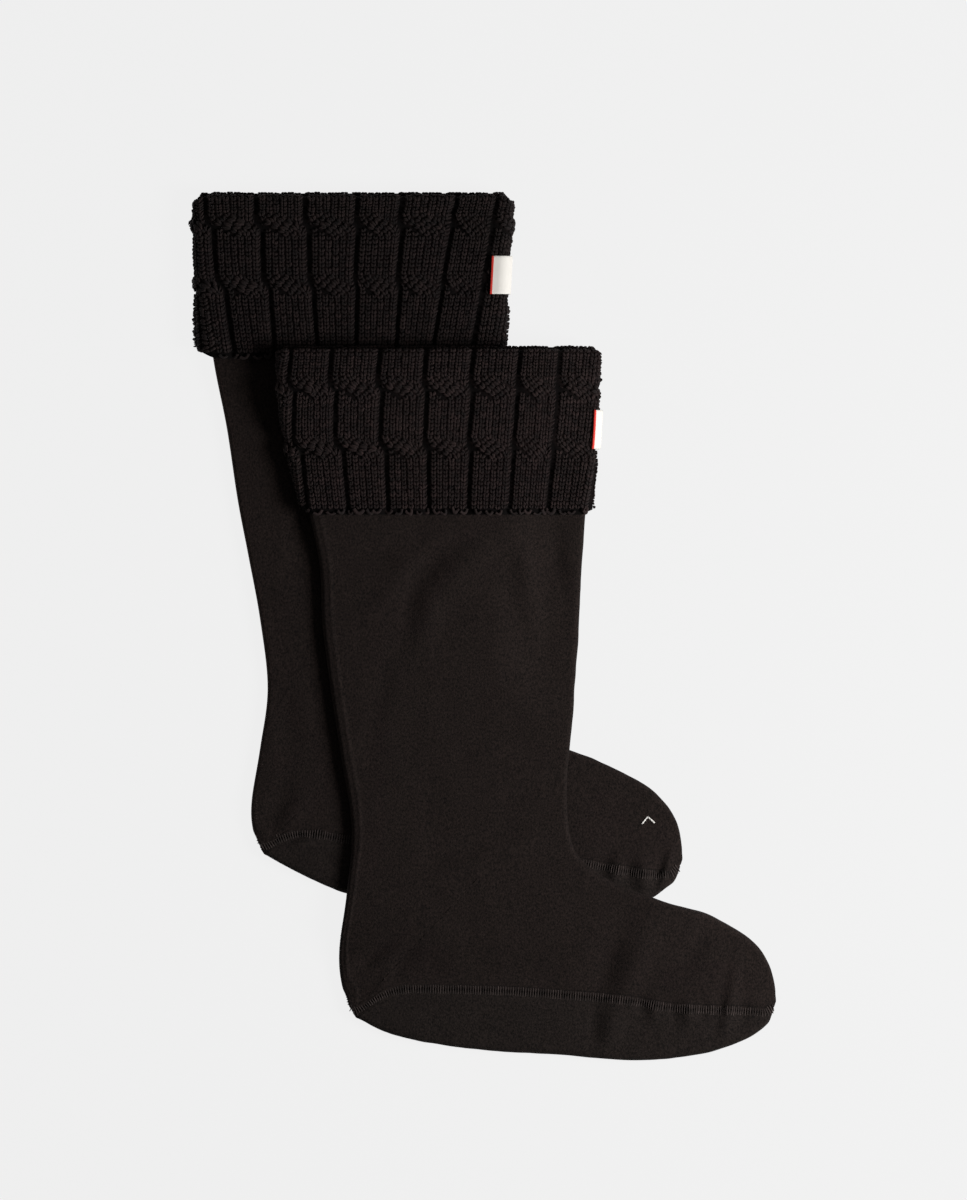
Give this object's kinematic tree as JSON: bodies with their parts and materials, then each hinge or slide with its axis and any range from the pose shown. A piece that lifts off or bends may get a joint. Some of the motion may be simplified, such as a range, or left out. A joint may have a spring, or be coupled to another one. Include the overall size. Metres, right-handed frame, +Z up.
{
  "type": "pair of boot socks",
  "caption": "Pair of tall fleece socks with deep cable-knit cuffs turned down, laid flat, one across the other.",
  "frame": {"origin": "centre of the footprint of the laid pair, on the surface that it lies on", "axes": "+X towards the toes, +Y towards the cuffs, +Z up from the surface"},
  "size_m": [0.3497, 0.5205, 0.0292],
  "materials": {
    "leg_fleece": "soft brushed fleece",
    "sole_fleece": "soft brushed fleece",
    "cuff_knit": "chunky cable knit wool",
    "label": "woven tape"
  },
  "bodies": {
    "root": {"under_leg": "leg_fleece", "under_sole": "sole_fleece", "under_cuff": "cuff_knit", "under_label": "label", "top_leg": "leg_fleece", "top_sole": "sole_fleece", "top_cuff": "cuff_knit", "top_label": "label"}
  },
  "joints": []
}
